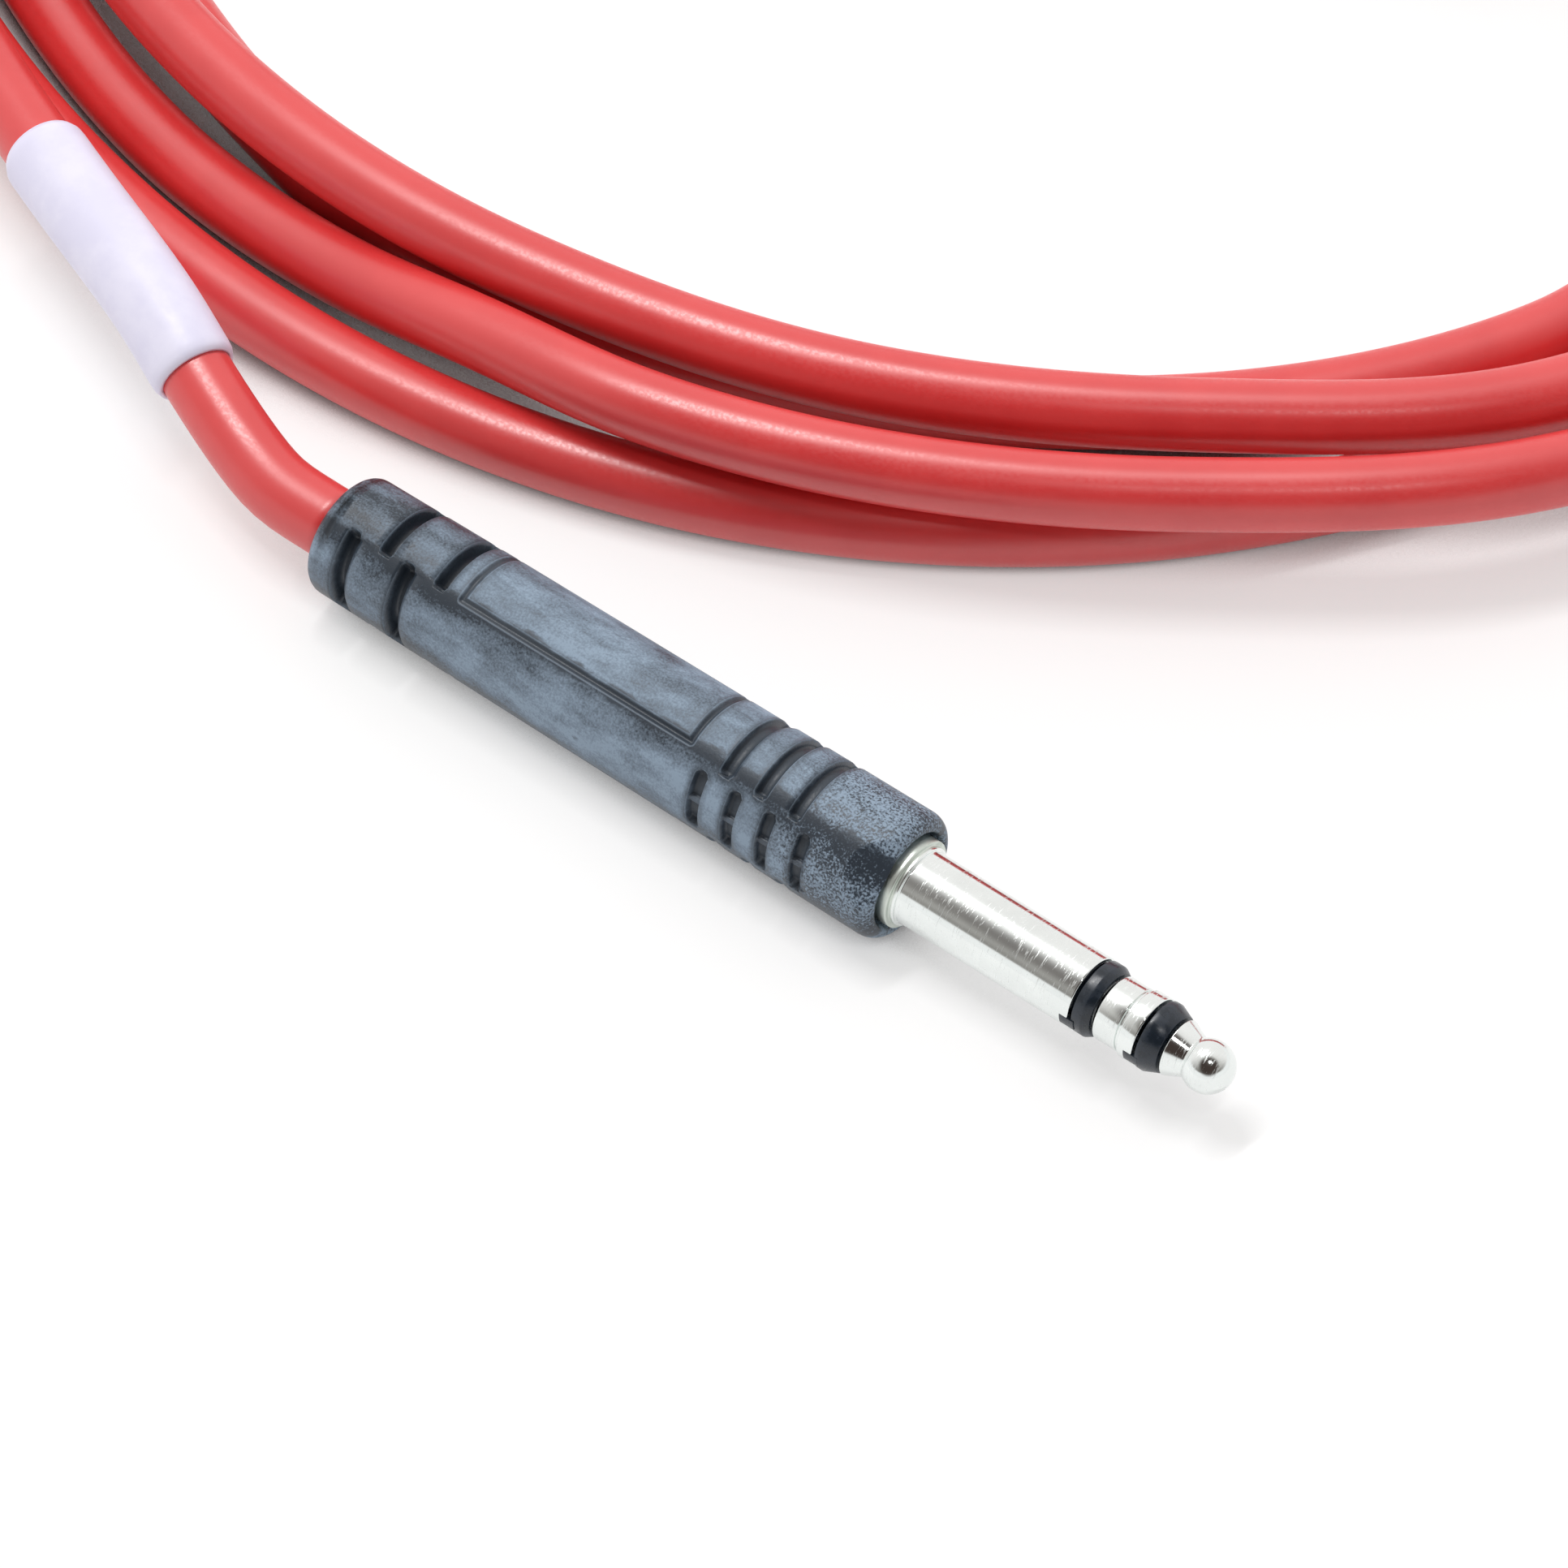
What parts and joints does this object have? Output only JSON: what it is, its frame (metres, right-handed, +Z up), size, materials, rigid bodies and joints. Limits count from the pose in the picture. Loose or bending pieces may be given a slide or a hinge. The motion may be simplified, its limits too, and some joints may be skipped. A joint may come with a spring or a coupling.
{
  "type": "instrument cable",
  "caption": "Coiled red instrument cable with quarter-inch jack plugs, moulded black slotted handles and a white marker sleeve.",
  "frame": {"origin": "centre of the shown plug's footprint, on the surface that it lies on", "axes": "+X along the shown plug towards its tip, +Y towards the coil, +Z up"},
  "size_m": [0.1948, 0.1633, 0.0132],
  "materials": {
    "nickel": "bright nickel plate, lightly scratched",
    "insulator": "glossy black",
    "rubber": "matte with a grey bloom",
    "ferrule": "plain brass",
    "jacket": "satin red jacket",
    "core_red": "satin",
    "core_white": "satin",
    "copper": "bare copper",
    "marker": "matte white heat-shrink"
  },
  "bodies": {
    "root": {"tip_contact": "nickel", "tip_insulator": "insulator", "ring_contact": "nickel", "ring_insulator": "insulator", "sleeve_shell": "nickel", "crimp_ferrule": "ferrule", "jacket_end": "jacket", "handle": "rubber", "tip_core": "core_red", "ring_core": "core_white", "drain_wire": "copper", "far_tip_contact": "nickel", "far_tip_insulator": "insulator", "far_ring_contact": "nickel", "far_ring_insulator": "insulator", "far_sleeve_shell": "nickel", "far_crimp_ferrule": "ferrule", "far_jacket_end": "jacket", "far_handle": "rubber", "far_tip_core": "core_red", "far_ring_core": "core_white", "far_drain_wire": "copper", "cable_lead": "jacket", "cable_coil": "jacket", "cable_tail": "jacket", "marker_sleeve": "marker"}
  },
  "joints": []
}
